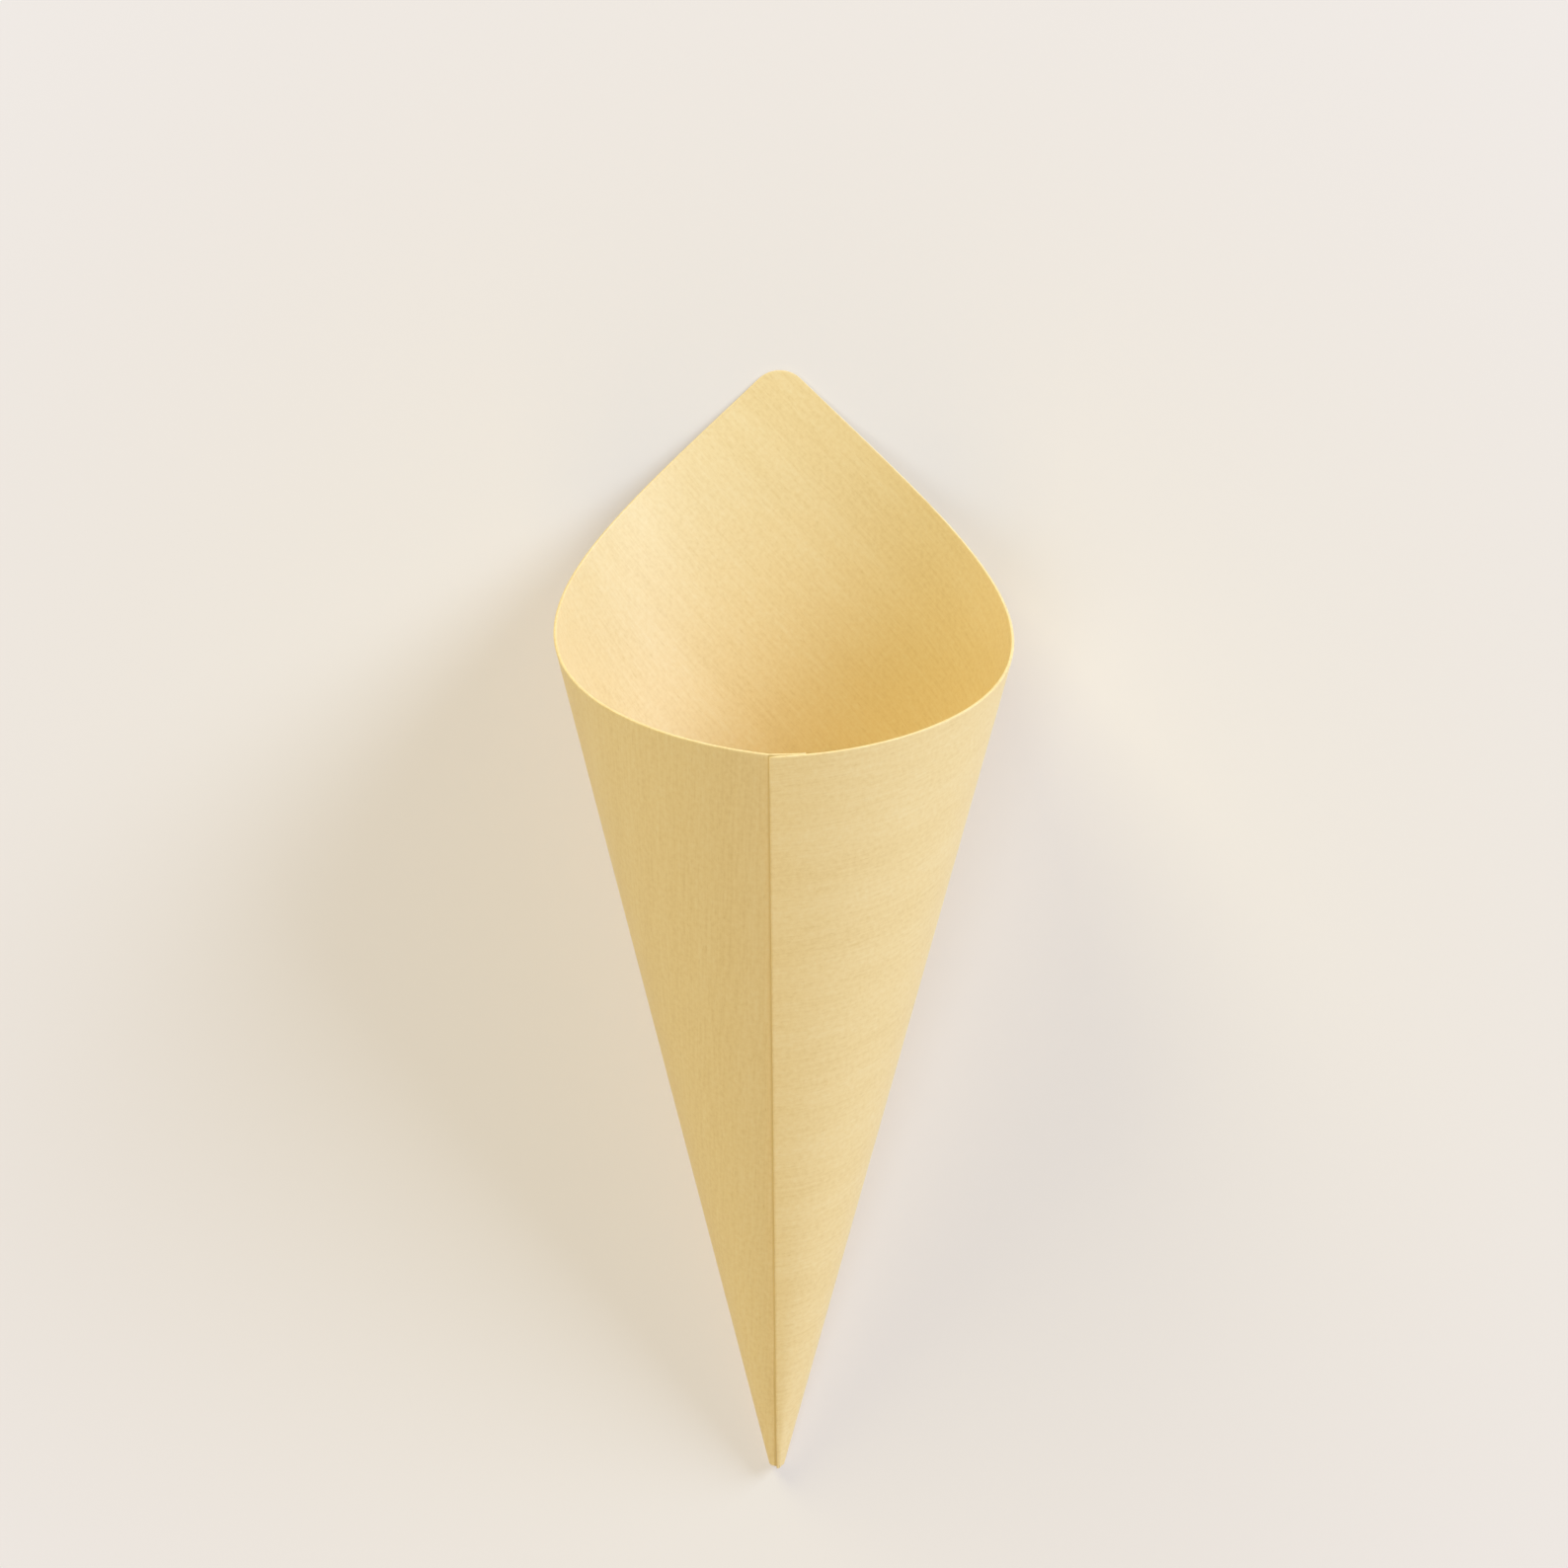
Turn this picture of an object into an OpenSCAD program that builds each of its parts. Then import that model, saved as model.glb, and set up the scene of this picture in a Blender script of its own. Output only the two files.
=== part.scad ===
// Food cone of thin wood veneer.
// One flat sheet is rolled round its corner, which becomes the tip, and is glued to itself along an overlap.
// The sheet's far corner stands up as the peak at the back of the mouth.
// The cone lies as it comes to rest: on a narrow flat strip from its tip to its peak, with the seam on top.
// +Y runs along the floor from the tip to the peak, and the origin is on the floor under the middle of the cone.

/* [Sheet] */
// Length of each straight side of the flat sheet, from the corner that is rolled into the tip to the rim
sheet_side = 135; // [90:1:200]
// Angle of the corner that is rolled into the tip, in degrees
sheet_corner = 87.5; // [70:0.5:100]
// Thickness of the veneer
veneer = 0.5; // [0.3:0.05:0.8]
// Length nipped off the tip, measured from the point where the sheet's sides would meet
tip_nip = 4; // [3:0.5:15]
// Radius of the rounded far corner, which is the peak
peak_radius = 5; // [1:0.5:15]

/* [Roll] */
// Width of the glued overlap at the rim
overlap = 5.5; // [3:0.5:12]
// Thickness of the glue line inside the overlap
glue_line = 0.08; // [0.04:0.01:0.15]
// Width at the rim over which the outer layer comes down to the roll again beside the overlap
settle = 25; // [10:1:40]
// Angle that the wall turns at the ridge along the seam, in degrees
ridge = 15; // [0:1:20]
// How far the roll is flattened from front to back, as a share of its radius
flatten = 0.05; // [0:0.01:0.08]
// Width of the strip along the sheet's diagonal that stays flat, and on which the cone lies, measured at the rim
back_flat = 10; // [4:0.5:16]

/* [Smoothness] */
// Number of flat strips round the roll
strips = 120; // [60:4:180]
// Number of flat strips round the rounded peak
peak_strips = 8; // [4:2:16]
// Number of flat strips across the overlap
overlap_strips = 4; // [2:1:8]

/* [Hidden] */

veneer_colour = [0.91, 0.81, 0.60];

// Angles on the flat sheet, seen from its rolled corner, in degrees.
overlap_angle = overlap / sheet_side * 180 / PI;
settle_angle = settle / sheet_side * 180 / PI;
flat_angle = back_flat / sheet_side * 180 / PI;
turn = sheet_corner - overlap_angle;
peak_at = sheet_corner / 2;

// The rounded far corner: its arc's centre lies on the sheet's diagonal.
peak_reach = sheet_side / cos(peak_at);
arc_centre = peak_reach - peak_radius / cos(peak_at);
arc_half = atan2(peak_radius * sin(peak_at), arc_centre + peak_radius * cos(peak_at));

// The outer layer of the overlap rides over the inner one.
lift_height = veneer + glue_line;

function unit(v) = v / norm(v);
function total(v) = v * [for (x = v) 1];

// Section of the roll, as a radius round its axis: a circle, flattened, with a ridge where the seam is.
function section_radius(phi) = 1 - ridge * PI / 180 * abs(sin(phi / 2)) - flatten * cos(2 * phi);

// Direction of the straight line up the wall at an angle round the roll. The seam is at 0.
function ray(phi, slope) =
    let (r = slope * section_radius(phi))
    unit([r * sin(phi), -r * cos(phi), 1]);

// Angle of sheet taken up between neighbouring lines of the wall.
section_steps = 360;
section_step = 360 / section_steps;
function sheet_steps(slope) =
    [for (i = [1:section_steps])
        2 * asin(norm(ray(i * section_step, slope) - ray((i - 1) * section_step, slope)) / 2)];

// The roll is as wide as makes one turn take up the sheet outside the overlap.
slope_tries = 8;
function fitted_slope(slope, tries) =
    tries == 0 ? slope : fitted_slope(slope * turn / total(sheet_steps(slope)), tries - 1);
slope = fitted_slope(turn / 360, slope_tries);

// Table from an angle on the sheet to the angle round the roll.
steps = sheet_steps(slope);
roll_table =
    [for (i = 0, a = 0; i <= section_steps; a = a + (i < section_steps ? steps[i] : 0), i = i + 1)
        [a, i * section_step]];
function roll_angle(a) = a <= turn ? lookup(a, roll_table) : 360 + lookup(a - turn, roll_table);

// The sheet stays flat in a strip along its diagonal, between the lines at the strip's two edges.
nudge = 0.02;
flat_edges = [for (side = [-1, 1]) ray(roll_angle(peak_at + side * flat_angle / 2), slope)];
flat_normal = unit(cross(flat_edges[1], flat_edges[0]));
function in_flat(a) = abs(a - peak_at) < flat_angle / 2 + nudge;

// Direction of the straight line up the wall at an angle on the sheet.
function wall_ray(a) =
    in_flat(a)
        ? let (share = (a - peak_at) / flat_angle + 0.5) unit([1 - share, share] * flat_edges)
        : ray(roll_angle(a), slope);

// Outward normal of the wall there. At the ridge it lies midway, and at the cut edge it looks only along the sheet.
function wall_normal(a) =
    in_flat(a) ? flat_normal : unit(cross(wall_ray(a + nudge), wall_ray(max(0, a - nudge))));

// Distance from the rolled corner to the rim: two straight edges that meet in the rounded far corner.
function rim_reach(a) =
    let (off = a - peak_at)
    abs(off) < arc_half
        ? arc_centre * cos(off) + sqrt(pow(peak_radius, 2) - pow(arc_centre * sin(off), 2))
        : sheet_side / cos(min(a, sheet_corner - a));

// Height of the sheet over the roll: the outer layer of the overlap, which then settles onto the roll.
function ease(x) = x * x * (3 - 2 * x);
function lift(a) = lift_height * (1 - ease(max(0, min(1, (a - overlap_angle) / settle_angle))));

// Frame of the lying cone: along the diagonal of the sheet, across it, and up through the wall.
along = wall_ray(peak_at);
up = -wall_normal(peak_at);
across = cross(along, up);
function lying(p) = [p * across, p * along, p * up + veneer / 2];

// Angles on the sheet where the wall has a straight line from tip to rim, closer together at the peak.
function span(from, to, count) = [for (i = [1:count]) from + (to - from) * i / count];
peak_near = min(arc_half, flat_angle / 2);
peak_far = max(arc_half, flat_angle / 2);
stations = concat(
    [0],
    span(0, overlap_angle, overlap_strips),
    span(overlap_angle, peak_at - peak_far, strips / 2 - overlap_strips),
    span(peak_at - peak_far, peak_at - peak_near, peak_strips / 2),
    span(peak_at - peak_near, peak_at + peak_near, peak_strips),
    span(peak_at + peak_near, peak_at + peak_far, peak_strips / 2),
    span(peak_at + peak_far, turn, strips / 2),
    span(turn, sheet_corner, overlap_strips)
);

// Four corners of the wall's section along one such line, going round it from the inside of the tip.
corners = 4;
function wall_corners(a) =
    let (
        d = wall_ray(a),
        n = wall_normal(a),
        inner = (lift(a) - veneer / 2) * n,
        outer = (lift(a) + veneer / 2) * n
    )
    [tip_nip * d + inner, rim_reach(a) * d + inner, rim_reach(a) * d + outer, tip_nip * d + outer];

wall_points = [for (a = stations, p = wall_corners(a)) lying(p)];

// The origin lies under the middle of the box round the cone.
xs = [for (p = wall_points) p.x];
ys = [for (p = wall_points) p.y];
middle = [(min(xs) + max(xs)) / 2, (min(ys) + max(ys)) / 2, 0];

last = corners * (len(stations) - 1);
wall_faces = concat(
    [[for (k = [0:corners - 1]) k]],
    [for (i = [0:len(stations) - 2], k = [0:corners - 1], half = [0, 1])
        let (here = corners * i, next = here + corners, k2 = (k + 1) % corners)
        half == 0 ? [here + k, next + k, next + k2] : [here + k, next + k2, here + k2]],
    [[for (k = [0:corners - 1]) last + corners - 1 - k]]
);

// The rolled sheet.
module veneer_cone() {
    color(veneer_colour)
        translate(-middle)
            polyhedron(points = wall_points, faces = wall_faces);
}

veneer_cone();
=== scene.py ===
# %% [markdown]
# # A food cone rolled from one sheet of veneer
#
# The real cone starts as a flat, nearly square sheet of wood half a millimetre thick. One corner becomes
# the tip: the sheet is rolled round it, and the two sides that meet there are glued over each other as
# the seam. The corner opposite stands up as the peak behind the mouth.
#
# This lesson makes it in the same order: cut the flat sheet, ease its edges, score it into narrow strips,
# roll it, lay it on the floor, and then give it the look of sliced wood under a soft light.

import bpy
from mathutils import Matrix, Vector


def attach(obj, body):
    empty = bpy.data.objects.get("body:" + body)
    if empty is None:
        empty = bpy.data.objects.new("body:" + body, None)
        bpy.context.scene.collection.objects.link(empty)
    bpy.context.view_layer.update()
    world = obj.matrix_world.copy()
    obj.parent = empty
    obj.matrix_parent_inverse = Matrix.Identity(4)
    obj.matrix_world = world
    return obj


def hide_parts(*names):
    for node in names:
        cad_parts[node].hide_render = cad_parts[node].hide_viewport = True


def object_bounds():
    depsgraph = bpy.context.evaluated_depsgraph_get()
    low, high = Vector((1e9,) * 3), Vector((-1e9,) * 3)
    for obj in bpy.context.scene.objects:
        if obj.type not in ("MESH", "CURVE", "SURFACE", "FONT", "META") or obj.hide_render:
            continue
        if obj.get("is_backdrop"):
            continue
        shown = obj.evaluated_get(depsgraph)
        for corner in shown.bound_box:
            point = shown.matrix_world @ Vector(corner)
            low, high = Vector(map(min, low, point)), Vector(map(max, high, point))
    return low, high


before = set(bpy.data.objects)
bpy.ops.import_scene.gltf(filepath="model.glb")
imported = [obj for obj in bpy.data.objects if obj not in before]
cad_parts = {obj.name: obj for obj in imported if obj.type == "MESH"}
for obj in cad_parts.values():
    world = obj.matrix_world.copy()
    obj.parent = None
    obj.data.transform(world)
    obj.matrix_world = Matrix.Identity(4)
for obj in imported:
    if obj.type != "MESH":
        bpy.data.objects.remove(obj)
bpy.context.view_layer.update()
print("nodes of the packed part:", len(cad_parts))

# %% Tools and units
from math import atan2, cos, degrees, hypot, pi, radians, sin, tan

import bmesh
import bpy
import numpy as np
from mathutils import Matrix, Vector

MM = 0.001
scene = bpy.context.scene
scene.view_settings.view_transform = "Standard"

# %% [markdown]
# ## The flat sheet
#
# The outline has two straight sides of 135 mm that meet in the rolled corner at 87.5 degrees, and two far
# edges that stand square to them. So the far edges meet on the diagonal, in the corner that will be the
# peak, which is rounded a little. The rolled corner itself is nipped off in a small arc, or the tip would
# be a needle.
#
# It could be drawn as a list of points, but a few corners and two operators do it: spin draws the nipped
# arc, and a bevel on one vertex rounds the peak. The rolled corner is at the origin, and angles are
# measured from the side that ends up on top at the seam.

# %% Cut the outline
SHEET_SIDE = 135 * MM
SHEET_CORNER = radians(87.5)
PEAK_ANGLE = SHEET_CORNER / 2
TIP_NIP = 4 * MM
NIP_STEPS = 24


def on_sheet(angle, reach):
    """Point of the flat sheet at an angle from the seam's side and a distance from the rolled corner."""
    return Vector((reach * sin(angle), reach * cos(angle), 0))


bm = bmesh.new()
nip_start = bm.verts.new(on_sheet(0, TIP_NIP))
nip = bmesh.ops.spin(
    bm, geom=[nip_start], cent=(0, 0, 0), axis=(0, 0, -1), angle=SHEET_CORNER, steps=NIP_STEPS
)
nip_end = nip["geom_last"][0]
far_reach = SHEET_SIDE / cos(PEAK_ANGLE)
far_side = bm.verts.new(on_sheet(SHEET_CORNER, SHEET_SIDE))
peak = bm.verts.new(on_sheet(PEAK_ANGLE, far_reach))
near_side = bm.verts.new(on_sheet(0, SHEET_SIDE))
chain = [nip_end, far_side, peak, near_side, nip_start]
for start, end in zip(chain, chain[1:]):
    bm.edges.new((start, end))
bmesh.ops.contextual_create(bm, geom=bm.edges[:])
print("outline corners:", len(bm.verts), "sheet diagonal in mm:", round(far_reach / MM, 1))

# %% Round the peak
PEAK_RADIUS = 5 * MM
PEAK_SEGMENTS = 12

far_corner = pi - SHEET_CORNER
bmesh.ops.bevel(
    bm, geom=[peak], affect="VERTICES", offset=PEAK_RADIUS / tan(far_corner / 2), segments=PEAK_SEGMENTS,
    profile=0.5, material=-1,
)
bmesh.ops.recalc_face_normals(bm, faces=bm.faces[:])
flat_area = sum(face.calc_area() for face in bm.faces)
print("flat area in square mm:", round(flat_area / MM**2))

# %% [markdown]
# ## Thickness and cut edges
#
# Sliced veneer is cut with a blade, so its edges are square, but the fibres at the corner are a little
# crushed. That eased corner catches the light as a fine bright line round the mouth. A Solidify modifier
# would leave the corners sharp, so the outline is extruded here and both rims get a tiny bevel. A holding
# loop, inset just beside it, keeps the bevel's shading from spreading over the broad faces.

# %% Give the sheet its thickness
VENEER = 0.5 * MM

if bm.faces[:][0].normal.z > 0:
    bmesh.ops.reverse_faces(bm, faces=bm.faces[:])
under_face = bm.faces[:][0]
upper = bmesh.ops.extrude_face_region(bm, geom=[under_face], use_keep_orig=True)
upper_verts = [v for v in upper["geom"] if isinstance(v, bmesh.types.BMVert)]
bmesh.ops.translate(bm, verts=upper_verts, vec=(0, 0, VENEER))
bmesh.ops.translate(bm, verts=bm.verts[:], vec=(0, 0, -VENEER / 2))
bmesh.ops.recalc_face_normals(bm, faces=bm.faces[:])
print("faces of the flat solid:", len(bm.faces), "volume in mm3:", round(bm.calc_volume() / MM**3, 1))

# %% Ease the edges
EASED_EDGE = 0.11 * MM
EASED_SEGMENTS = 2
HOLDING_LOOP = 0.25 * MM


def broad_faces():
    """The upper and the under face of the flat sheet, which are its largest."""
    return sorted(bm.faces, key=lambda face: face.calc_area())[-2:]


rims = [edge for face in broad_faces() for edge in face.edges]
bmesh.ops.bevel(
    bm, geom=rims, affect="EDGES", offset=EASED_EDGE, segments=EASED_SEGMENTS, profile=0.5, material=-1,
    clamp_overlap=False,
)
bmesh.ops.inset_region(
    bm, faces=broad_faces(), thickness=HOLDING_LOOP, use_boundary=True, use_even_offset=True
)
print("faces with eased edges:", len(bm.faces))

# %% [markdown]
# ## Strips that can bend
#
# Wood this thin bends one way at a time. Rolled round its corner, it stays straight along every line that
# starts there, so the sheet is divided along such lines: bisect planes through the rolled corner, half a
# degree apart. One of them lies exactly where the sheet meets its own edge again, because it makes a
# ridge there. A few cuts across keep the faces from getting too long and thin.

# %% Divide the sheet
OVERLAP = 5.5 * MM
STRIP = radians(0.5)
CROSS_CUTS = 24
CUT_SNAP = 1e-5 * MM

turn = SHEET_CORNER - OVERLAP / SHEET_SIDE
strips = round(turn / STRIP)
hidden_strips = round((SHEET_CORNER - turn) / STRIP)
angles = [turn * i / strips for i in range(1, strips + 1)]
angles += [turn + (SHEET_CORNER - turn) * i / hidden_strips for i in range(1, hidden_strips)]


def divide(plane_point, plane_normal):
    """Cuts every face that the plane crosses, and keeps both sides."""
    geom = bm.verts[:] + bm.edges[:] + bm.faces[:]
    bmesh.ops.bisect_plane(bm, geom=geom, dist=CUT_SNAP, plane_co=plane_point, plane_no=plane_normal)


for angle in angles:
    divide((0, 0, 0), (cos(angle), -sin(angle), 0))
diagonal = on_sheet(PEAK_ANGLE, 1)
for i in range(1, CROSS_CUTS):
    divide(diagonal * far_reach * i / CROSS_CUTS, diagonal)
print("strips:", len(angles) + 1, "faces:", len(bm.faces))

# %% [markdown]
# ## The painted shadow along the seam
#
# The flap's edge stands proud of the panel below it, so its cut face and a narrow strip of the panel beside
# it lie in shade and draw a fine dark line along the seam. That shade is painted into the wood's colour. It
# could be a strip of its own, but it has no thickness. So one more cut marks how far the painted shadow
# reaches, and a vertex attribute holds it: full at the foot of the flap's edge, and fading out on the panel
# beside it.

# %% Mark the painted shadow along the seam
SEAM_SHADOW_REACH = 0.4 * MM

seam_across = Vector((cos(turn), -sin(turn), 0))
divide(-SEAM_SHADOW_REACH * seam_across, seam_across)
# Painted shadow: this attribute marks the flap's cut face and the strip beside the seam's step, where its
# shade falls.
seam_shadow_mark = bm.verts.layers.float.new("glue_line")
for v in bm.verts:
    flap_foot = v.co.x < EASED_EDGE / 2 and v.co.z < 0
    outer_face = v.co.z > (VENEER - EASED_EDGE) / 2
    beside_flap = outer_face and v.co.dot(seam_across) > -SEAM_SHADOW_REACH / 2
    v[seam_shadow_mark] = 1.0 if flap_foot or beside_flap else 0.0
# Counts the vertices that carry the painted seam shadow.
print("vertices in the glue:", sum(v[seam_shadow_mark] > 0 for v in bm.verts))

# %% Keep the flat sheet as the UV map
sheet_map = bm.loops.layers.uv.new("sheet")
for face in bm.faces:
    for loop in face.loops:
        loop[sheet_map].uv = loop.vert.co.xy
print("the UV map holds the flat sheet, in metres")

# %% [markdown]
# ## The roll
#
# Seen along its axis, the rolled sheet is nearly a circle. Two things make it look like wood and not like
# paper: it is a little flatter from front to back, and it doesn't bend into a smooth curve at the glued
# seam, where the two sides meet in a low ridge. So the section is a circle with those two terms, and how
# steep the cone is follows from the length: one turn has to use up the sheet outside the overlap, to the
# degree.

# %% Section of the roll
RIDGE = radians(15)
FLATTEN = 0.05
TURN_STEPS = 1440
SLOPE_TRIES = 8

steps_round = np.linspace(0, 2 * pi, TURN_STEPS + 1)


def wall_lines(around, slope):
    """Directions of the straight lines up the wall, at angles round the axis counted from the seam."""
    around = np.asarray(around, dtype=float)
    radius = slope * (1 - RIDGE * np.abs(np.sin(around / 2)) - FLATTEN * np.cos(2 * around))
    lines = np.stack([radius * np.sin(around), -radius * np.cos(around), np.ones_like(around)], axis=-1)
    return lines / np.linalg.norm(lines, axis=-1, keepdims=True)


def sheet_used(slope):
    """Angle of sheet that the roll has used up at each step round one turn."""
    chords = np.linalg.norm(np.diff(wall_lines(steps_round, slope), axis=0), axis=1)
    return np.concatenate([[0], np.cumsum(2 * np.arcsin(chords / 2))])


slope = turn / (2 * pi)
for _ in range(SLOPE_TRIES):
    slope *= turn / sheet_used(slope)[-1]
used = sheet_used(slope)
print("radius per unit of height:", round(slope, 4), "sheet used in degrees:", round(degrees(used[-1]), 3))

# %% Where each line of the sheet goes
NUDGE = radians(0.02)


def line_of(angle):
    """Direction up the wall of the line at an angle on the sheet. Past one turn it goes on under the flap."""
    laps = 1 if angle > turn else 0
    around = 2 * pi * laps + np.interp(angle - turn * laps, used, steps_round)
    return Vector(wall_lines(around, slope))


def outward_of(angle):
    """Outward normal of the wall on that line. At the seam's edge it looks only along the sheet."""
    return line_of(angle + NUDGE).cross(line_of(max(0, angle - NUDGE))).normalized()


print("line at the peak:", [round(v, 3) for v in line_of(PEAK_ANGLE)])

# %% [markdown]
# ## Roll the sheet and lay it down
#
# Every vertex knows its angle and its distance from the rolled corner, so it moves to the same distance
# along its own line, and its place in the thickness goes along the wall's normal. Lengths on the sheet
# stay as they were cut, which is why the straight far edges turn into the curved mouth by themselves.
#
# At the seam the outer flap rides over the inner layer and a film of glue, and comes down to the roll
# again over the next 25 mm. A cone can't stand on its tip: it lies on the line from tip to peak, with the
# seam on top.

# %% Move the vertices
GLUE_LINE = 0.08 * MM
SETTLE = 25 * MM


def lift_of(angle):
    """Height of the sheet over the roll: the flap on top of the inner layer, then easing down beside it."""
    share = min(1, max(0, (angle * SHEET_SIDE - OVERLAP) / SETTLE))
    return (VENEER + GLUE_LINE) * (1 - share * share * (3 - 2 * share))


for v in bm.verts:
    angle, reach, height = atan2(v.co.x, v.co.y), hypot(v.co.x, v.co.y), v.co.z
    v.co = reach * line_of(angle) + (lift_of(angle) + height) * outward_of(angle)
print("rolled vertices:", len(bm.verts))

# %% Lay the cone on its back
along = line_of(PEAK_ANGLE)
up = -outward_of(PEAK_ANGLE)
across = along.cross(up)
lying = Matrix((across, along, up)).to_4x4()
bmesh.ops.transform(bm, matrix=lying, space=Matrix(), verts=bm.verts[:])
low = Vector([min(v.co[i] for v in bm.verts) for i in range(3)])
high = Vector([max(v.co[i] for v in bm.verts) for i in range(3)])
rest = Vector(((low.x + high.x) / 2, (low.y + high.y) / 2, low.z))
bmesh.ops.translate(bm, verts=bm.verts[:], vec=-rest)
print("lying cone in mm:", [round(v / MM, 2) for v in high - low])

# %% Make the piece
WELD = 0.004 * MM

for face in bm.faces:
    face.smooth = True
bmesh.ops.remove_doubles(bm, verts=bm.verts[:], dist=WELD)
mesh = bpy.data.meshes.new("rolled_veneer")
bm.to_mesh(mesh)
bm.free()
cone = bpy.data.objects.new("rolled_veneer", mesh)
scene.collection.objects.link(cone)
print("triangles:", sum(len(p.vertices) - 2 for p in mesh.polygons))

# %% [markdown]
# ## Sliced veneer
#
# The wood is a pale, even one, sliced and not varnished, so it looks soft and satin, with long fibres
# that all run one way. They run along the hidden side of the sheet. After rolling, that is up the wall on
# the left of the seam and nearly level on its right, and the grain on the two sides meets at an angle.
#
# The pattern could sit in Object coordinates, but then the fibres would run straight through the rolled
# wall. The UV map still holds the flat sheet, so a pattern made on it follows the wood.

# %% Small helpers for materials


def linear(code):
    """Linear colour of an sRGB hex value."""
    parts = [int(code[i : i + 2], 16) / 255 for i in (1, 3, 5)]
    return (*[p / 12.92 if p <= 0.04045 else ((p + 0.055) / 1.055) ** 2.4 for p in parts], 1)


def add_node(tree, kind, inputs=None, **settings):
    """Adds a node with its settings. Each input is a value, or the output of another node to link."""
    node = tree.nodes.new(kind)
    for name, value in settings.items():
        setattr(node, name, value)
    for socket, value in (inputs or {}).items():
        if isinstance(value, bpy.types.NodeSocket):
            tree.links.new(value, node.inputs[socket])
        else:
            node.inputs[socket].default_value = value
    return node


def new_material(name):
    """An empty material and its node tree."""
    material = bpy.data.materials.new(name)
    material.use_nodes = True
    material.node_tree.nodes.clear()
    return material, material.node_tree


print("middle grey in linear light:", round(linear("#808080")[0], 3))

# %% Sliced veneer, unvarnished
GRAIN_TURN = SHEET_CORNER - pi / 2

# Matt to satin, with no film on it: soft broad highlights, and fibres just fine enough to see up close.
veneer, tree = new_material("sliced_veneer")
flat_sheet = add_node(tree, "ShaderNodeUVMap", uv_map="sheet").outputs["UV"]
grain = add_node(
    tree, "ShaderNodeMapping", {"Vector": flat_sheet, "Rotation": (0, 0, GRAIN_TURN)}
).outputs["Vector"]
print("grain turned on the sheet by degrees:", round(degrees(GRAIN_TURN), 1))

# %% Patterns in the wood
# Length along the grain and width across it. One fibre is a few hundredths of a millimetre wide, too fine to
# show, so the fibres are drawn as bundles.
PATTERN_SIZES = {
    "fibres": (8 * MM, 0.45 * MM),
    "bands": (120 * MM, 7 * MM),
    "flecks": (1.6 * MM, 0.3 * MM),
    "mottle": (0.8 * MM, 0.8 * MM),
}
# How many finer layers each pattern has, and how strong each is beside the one before.
PATTERN_LAYERS = {"fibres": (3, 0.55), "bands": (2, 0.5), "flecks": (1, 0.5), "mottle": (2, 0.6)}

patterns = {}
for name, (length, width) in PATTERN_SIZES.items():
    stretch = (1 / length, 1 / width, 1)
    place = add_node(tree, "ShaderNodeMapping", {"Vector": grain, "Scale": stretch}).outputs["Vector"]
    layers, strength = PATTERN_LAYERS[name]
    patterns[name] = add_node(
        tree, "ShaderNodeTexNoise", {"Vector": place, "Scale": 1, "Detail": layers, "Roughness": strength}
    ).outputs["Fac"]
print("patterns:", list(patterns))

# %% Tone of the wood
TONES = {0.0: "#DDBE86", 0.5: "#EDD4A5", 1.0: "#F5E3C1"}
SHARES = {"fibres": 0.5, "bands": 0.35, "mottle": 0.6}
MIDDLE = 0.5

tone = MIDDLE
for name, share in SHARES.items():
    swing = add_node(tree, "ShaderNodeMath", {0: patterns[name], 1: MIDDLE}, operation="SUBTRACT").outputs[0]
    tone = add_node(
        tree, "ShaderNodeMath", {0: swing, 1: share, 2: tone}, operation="MULTIPLY_ADD"
    ).outputs[0]
ramp = add_node(tree, "ShaderNodeValToRGB", {"Fac": tone})
for position, code in TONES.items():
    ends = {0.0: ramp.color_ramp.elements[0], 1.0: ramp.color_ramp.elements[-1]}
    stop = ends.get(position) or ramp.color_ramp.elements.new(position)
    stop.color = linear(code)
print("tones from late to early wood:", list(TONES.values()))

# %% Flecks and the painted seam shadow
FLECK_TONE = "#C9A466"
FLECK_FROM, FLECK_TO = 0.62, 0.75
FLECK_SHARE = 0.16
# Darker tone painted where the seam's step shades the flap's cut face and the panel beside it.
SEAM_SHADOW_TONE = "#D6BB85"
MIX_A, MIX_B, MIX_RESULT = 6, 7, 2  # places of the colour sockets on a Mix node

fleck_mask = add_node(
    tree,
    "ShaderNodeMapRange",
    {"Value": patterns["flecks"], "From Min": FLECK_FROM, "From Max": FLECK_TO, "To Max": FLECK_SHARE},
).outputs["Result"]
# Paints the seam's shadow into the wood's colour, along the attribute marked above.
glue = add_node(tree, "ShaderNodeAttribute", attribute_name="glue_line").outputs["Fac"]
wood = ramp.outputs["Color"]
for mask, code in ((fleck_mask, FLECK_TONE), (glue, SEAM_SHADOW_TONE)):
    wood = add_node(
        tree, "ShaderNodeMix", {"Factor": mask, MIX_A: wood, MIX_B: linear(code)}, data_type="RGBA"
    ).outputs[MIX_RESULT]
# The second tone printed here is the painted seam shadow.
print("flecks:", FLECK_TONE, "glue:", SEAM_SHADOW_TONE)

# %% Gloss and fibre relief
FIBRE_LOW, FIBRE_HIGH = 0.3, 0.7
ROUGH_LOW, ROUGH_HIGH = 0.42, 0.54
RELIEF = 0.02 * MM
RELIEF_STRENGTH = 0.15
WOOD_IOR = 1.45

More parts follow.
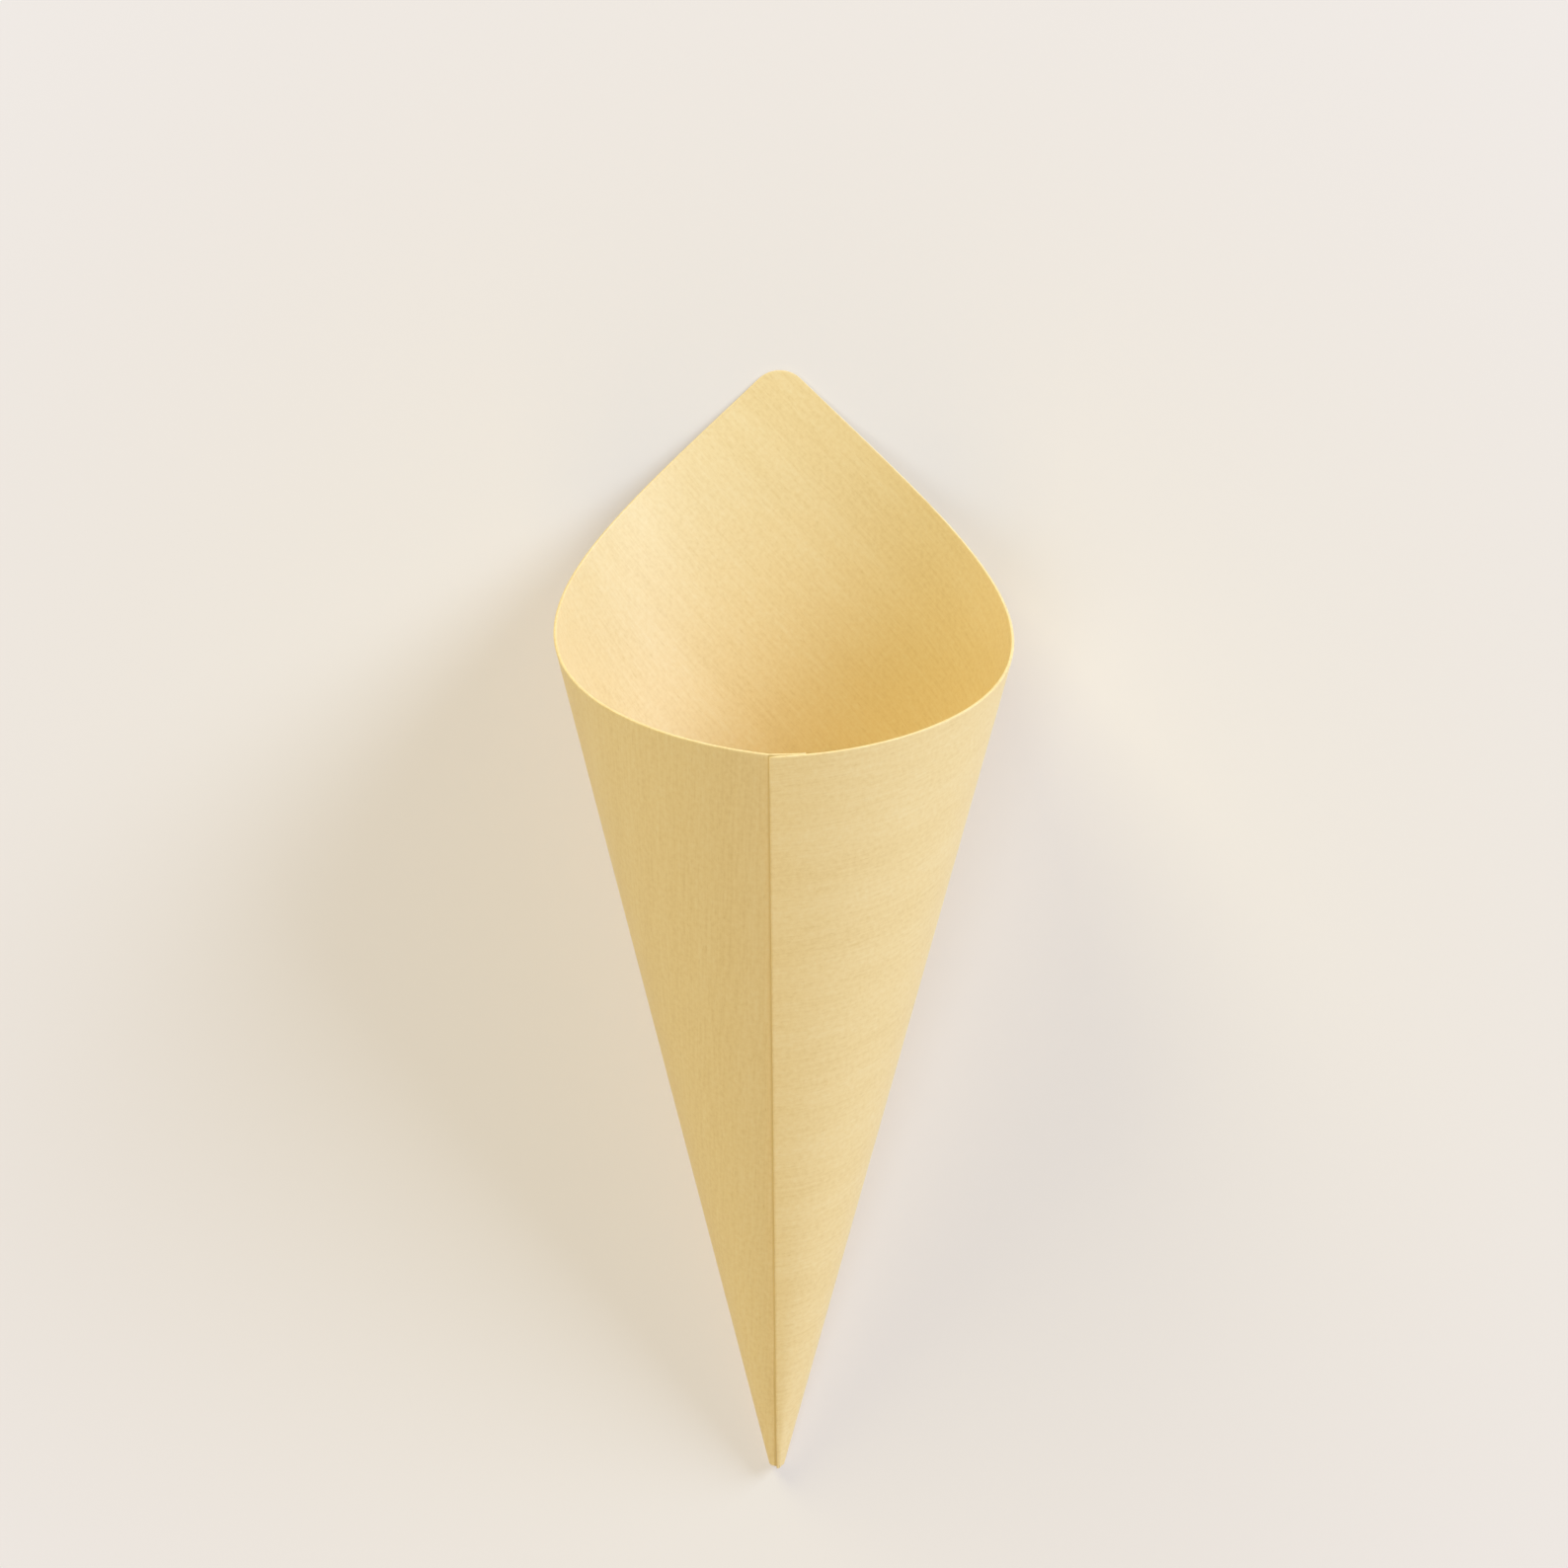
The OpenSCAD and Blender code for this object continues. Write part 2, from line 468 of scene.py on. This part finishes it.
fibre_range = {"From Min": FIBRE_LOW, "From Max": FIBRE_HIGH, "To Min": ROUGH_LOW, "To Max": ROUGH_HIGH}
rough = add_node(
    tree, "ShaderNodeMapRange", {"Value": patterns["fibres"], **fibre_range}
).outputs["Result"]
relief = add_node(
    tree, "ShaderNodeBump", {"Height": patterns["fibres"], "Strength": RELIEF_STRENGTH, "Distance": RELIEF}
).outputs["Normal"]
surface = add_node(
    tree,
    "ShaderNodeBsdfPrincipled",
    {"Base Color": wood, "Roughness": rough, "Normal": relief, "IOR": WOOD_IOR},
).outputs["BSDF"]
add_node(tree, "ShaderNodeOutputMaterial", {"Surface": surface})
mesh.materials.append(veneer)
print("nodes in the veneer:", len(tree.nodes))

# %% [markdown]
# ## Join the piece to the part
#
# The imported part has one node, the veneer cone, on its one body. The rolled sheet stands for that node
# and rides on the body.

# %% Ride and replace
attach(cone, "root")
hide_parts("veneer_cone")

# %% [markdown]
# ## Floor
#
# A plain pale floor keeps the soft shadow that shows how the cone lies. It is one large square, so no
# edge comes into view. Paper that is only diffuse would take on the colour of each lamp in the shadow of
# the others. So to the camera, and in reflections, part of it is its own pale tone, and the rest is what
# the lamps make of it. Away from the cone that part grows, until the floor runs into the backdrop as a
# paper sweep does.

# %% Lay the floor
FLOOR_SIZE = 8

bm = bmesh.new()
bmesh.ops.create_grid(bm, x_segments=1, y_segments=1, size=FLOOR_SIZE / 2)
floor_mesh = bpy.data.meshes.new("floor")
bm.to_mesh(floor_mesh)
bm.free()
floor = bpy.data.objects.new("floor", floor_mesh)
scene.collection.objects.link(floor)
floor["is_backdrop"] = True
print("floor:", FLOOR_SIZE, "m square")

# %% Matt seamless paper
FLOOR_TONE = "#ECE7E4"
FLOOR_GLOW_TONE = "#E7DFEA"
BACKDROP_TONE = "#F4F0EC"
FLOOR_GLOW = 0.3
SWEEP_FROM, SWEEP_TO = 20 * MM, 320 * MM


def seen_directly(tree):
    """1 for what the camera sees, by itself or in a reflection, and 0 for light on its way."""
    rays = add_node(tree, "ShaderNodeLightPath").outputs
    direct = rays["Is Camera Ray"]
    for other in ("Is Glossy Ray", "Is Transmission Ray"):
        direct = add_node(tree, "ShaderNodeMath", {0: direct, 1: rays[other]}, operation="MAXIMUM").outputs[0]
    return direct


# Paper without gloss or a pattern of its own: an even, pale ground that shows only the shadow.
paper, tree = new_material("matt_paper")
matt = add_node(tree, "ShaderNodeBsdfDiffuse", {"Color": linear(FLOOR_TONE)}).outputs["BSDF"]
place = add_node(tree, "ShaderNodeTexCoord").outputs["Object"]
distance = add_node(tree, "ShaderNodeVectorMath", {0: place}, operation="LENGTH").outputs["Value"]
far = add_node(
    tree, "ShaderNodeMapRange", {"Value": distance, "From Min": SWEEP_FROM, "From Max": SWEEP_TO},
    interpolation_type="SMOOTHSTEP",
).outputs["Result"]
tone = add_node(
    tree, "ShaderNodeMix", {"Factor": far, MIX_A: linear(FLOOR_GLOW_TONE), MIX_B: linear(BACKDROP_TONE)},
    data_type="RGBA",
).outputs[MIX_RESULT]
print("the floor's own tone runs from", FLOOR_GLOW_TONE, "to", BACKDROP_TONE)

# %% Mix the paper
glow = add_node(tree, "ShaderNodeEmission", {"Color": tone, "Strength": 1}).outputs["Emission"]
share = add_node(
    tree, "ShaderNodeMapRange", {"Value": far, "To Min": FLOOR_GLOW, "To Max": 1}
).outputs["Result"]
share = add_node(tree, "ShaderNodeMath", {0: seen_directly(tree), 1: share}, operation="MULTIPLY").outputs[0]
pale = add_node(tree, "ShaderNodeMixShader", {0: share, 1: matt, 2: glow}).outputs["Shader"]
add_node(tree, "ShaderNodeOutputMaterial", {"Surface": pale})
floor_mesh.materials.append(paper)
print("nodes in the paper:", len(tree.nodes))

# %% [markdown]
# ## Light
#
# A large soft key lamp with the cool white of daylight stands on the right, a little beyond the mouth. So
# the right side of the seam is lighter than the left, and inside the mouth the right wall and the deep end
# lie in shade. A second soft lamp, nearly overhead, lights the left side.
#
# Golden wood also lights its own surroundings: what comes back from it is warm. Two warm lamps stand for
# this light, one beyond the mouth that reaches its deep end and one in front, with a weak warm sky. Added
# up on the floor, all of it is close to white and a little warm. The lamps are far enough away to light
# the cone evenly from tip to peak.

# %% Sky
SKY_FILL = 0.25
SKY_TONE = "#FFE789"

world = bpy.data.worlds.new("studio")
scene.world = world
world.use_nodes = True
tree = world.node_tree
tree.nodes.clear()
fill = add_node(tree, "ShaderNodeBackground", {"Color": linear(SKY_TONE), "Strength": SKY_FILL})
backdrop = add_node(tree, "ShaderNodeBackground", {"Color": linear(BACKDROP_TONE), "Strength": 1})
sky = add_node(
    tree, "ShaderNodeMixShader", {0: seen_directly(tree), 1: fill.outputs[0], 2: backdrop.outputs[0]}
)
add_node(tree, "ShaderNodeOutputWorld", {"Surface": sky.outputs[0]})
print("sky fill:", SKY_FILL)

# %% Lamps
LAMP_SIZE = 1.25
LAMP_DISTANCE = 2.5
LAMP_AIM = Vector((0, 0, 30 * MM))


def soft_lamp(name, lean, heading, power, code):
    """A square area lamp that looks at the cone, leaning from overhead towards a heading counted from +X."""
    lamp = bpy.data.lights.new(name, "AREA")
    lamp.size = LAMP_SIZE
    lamp.energy = power
    lamp.color = linear(code)[:3]
    lean, heading = radians(lean), radians(heading)
    towards = Vector((sin(lean) * cos(heading), sin(lean) * sin(heading), cos(lean)))
    holder = bpy.data.objects.new(name, lamp)
    holder.location = LAMP_AIM + LAMP_DISTANCE * towards
    holder.rotation_euler = towards.to_track_quat("Z", "Y").to_euler()
    scene.collection.objects.link(holder)


soft_lamp("key_lamp", lean=65, heading=30, power=61, code="#DBECFF")
soft_lamp("overhead_lamp", lean=30, heading=240, power=18.2, code="#DAEBFF")
soft_lamp("warm_back_lamp", lean=65, heading=120, power=34.8, code="#FFF9BE")
soft_lamp("warm_front_lamp", lean=50, heading=270, power=13.7, code="#FFDC6D")

# %% [markdown]
# ## Camera
#
# The cone was pictured with its tip down and its seam towards the lens. Lying on its back, it shows the
# same face to a camera straight above, 0.54 m up, with the tip at the bottom of the frame.

# %% Camera straight above
CAMERA_HEIGHT = 540.25 * MM
CAMERA_FORWARD = 22.2 * MM
CAMERA_RIGHT = 0.1 * MM
CAMERA_ROLL = radians(0.17)
LENS = 74.7
SENSOR_WIDTH = 36

camera_data = bpy.data.cameras.new("camera")
camera_data.lens = LENS
camera_data.sensor_width = SENSOR_WIDTH
camera = bpy.data.objects.new("camera", camera_data)
camera.location = (CAMERA_RIGHT, CAMERA_FORWARD, CAMERA_HEIGHT)
camera.rotation_euler = (0, 0, CAMERA_ROLL)
scene.collection.objects.link(camera)
scene.camera = camera
print("camera looks straight down from", CAMERA_HEIGHT, "m")

# %% Print the sizes and finish
low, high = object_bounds()
print("box of the rolled veneer in mm:", [round(v / MM, 1) for v in (*low, *high)])
